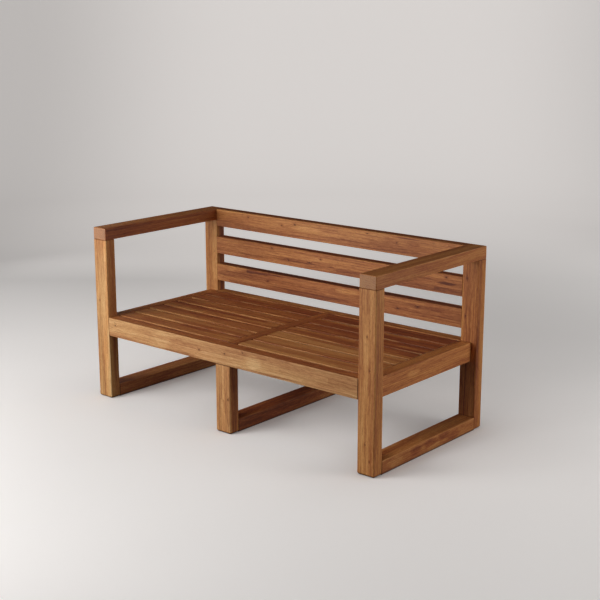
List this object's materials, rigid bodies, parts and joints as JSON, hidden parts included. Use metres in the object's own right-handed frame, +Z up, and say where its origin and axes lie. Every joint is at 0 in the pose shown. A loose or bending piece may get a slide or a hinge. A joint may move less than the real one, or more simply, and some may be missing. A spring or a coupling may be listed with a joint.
{
  "type": "lounge sofa",
  "caption": "Low slatted wooden sofa frame with flat arms, a railed back, floor runners and a centre support, made to carry seat cushions.",
  "frame": {"origin": "on the floor under the middle of the frame", "axes": "+X to the sofa's left-hand end as one sits on it, -Y to the front, +Z up"},
  "size_m": [1.4, 0.675, 0.7],
  "materials": {
    "frame_wood": "oiled hardwood, warm brown",
    "slat_wood": "oiled hardwood, warm brown",
    "cleat_wood": "planed hardwood, unfinished",
    "dowel_wood": "grooved beech, unfinished",
    "screw_steel": "zinc plated"
  },
  "bodies": {
    "root": {"arm_dowels": "dowel_wood", "back_seat_rail": "frame_wood", "centre_back_leg": "frame_wood", "centre_front_leg": "frame_wood", "centre_runner": "frame_wood", "centre_seat_rail": "frame_wood", "front_seat_rail": "frame_wood", "left_arm": "frame_wood", "left_back_post": "frame_wood", "left_cleat_screws": "screw_steel", "left_front_post": "frame_wood", "left_inner_cleat": "cleat_wood", "left_outer_cleat": "cleat_wood", "left_runner": "frame_wood", "left_side_rail": "frame_wood", "left_slat_1": "slat_wood", "left_slat_2": "slat_wood", "left_slat_3": "slat_wood", "left_slat_4": "slat_wood", "left_slat_5": "slat_wood", "left_slat_6": "slat_wood", "left_slat_7": "slat_wood", "left_slat_screws": "screw_steel", "lower_back_rail": "frame_wood", "middle_back_rail": "frame_wood", "right_arm": "frame_wood", "right_back_post": "frame_wood", "right_cleat_screws": "screw_steel", "right_front_post": "frame_wood", "right_inner_cleat": "cleat_wood", "right_outer_cleat": "cleat_wood", "right_runner": "frame_wood", "right_side_rail": "frame_wood", "right_slat_1": "slat_wood", "right_slat_2": "slat_wood", "right_slat_3": "slat_wood", "right_slat_4": "slat_wood", "right_slat_5": "slat_wood", "right_slat_6": "slat_wood", "right_slat_7": "slat_wood", "right_slat_screws": "screw_steel", "top_back_rail": "frame_wood"}
  },
  "joints": []
}
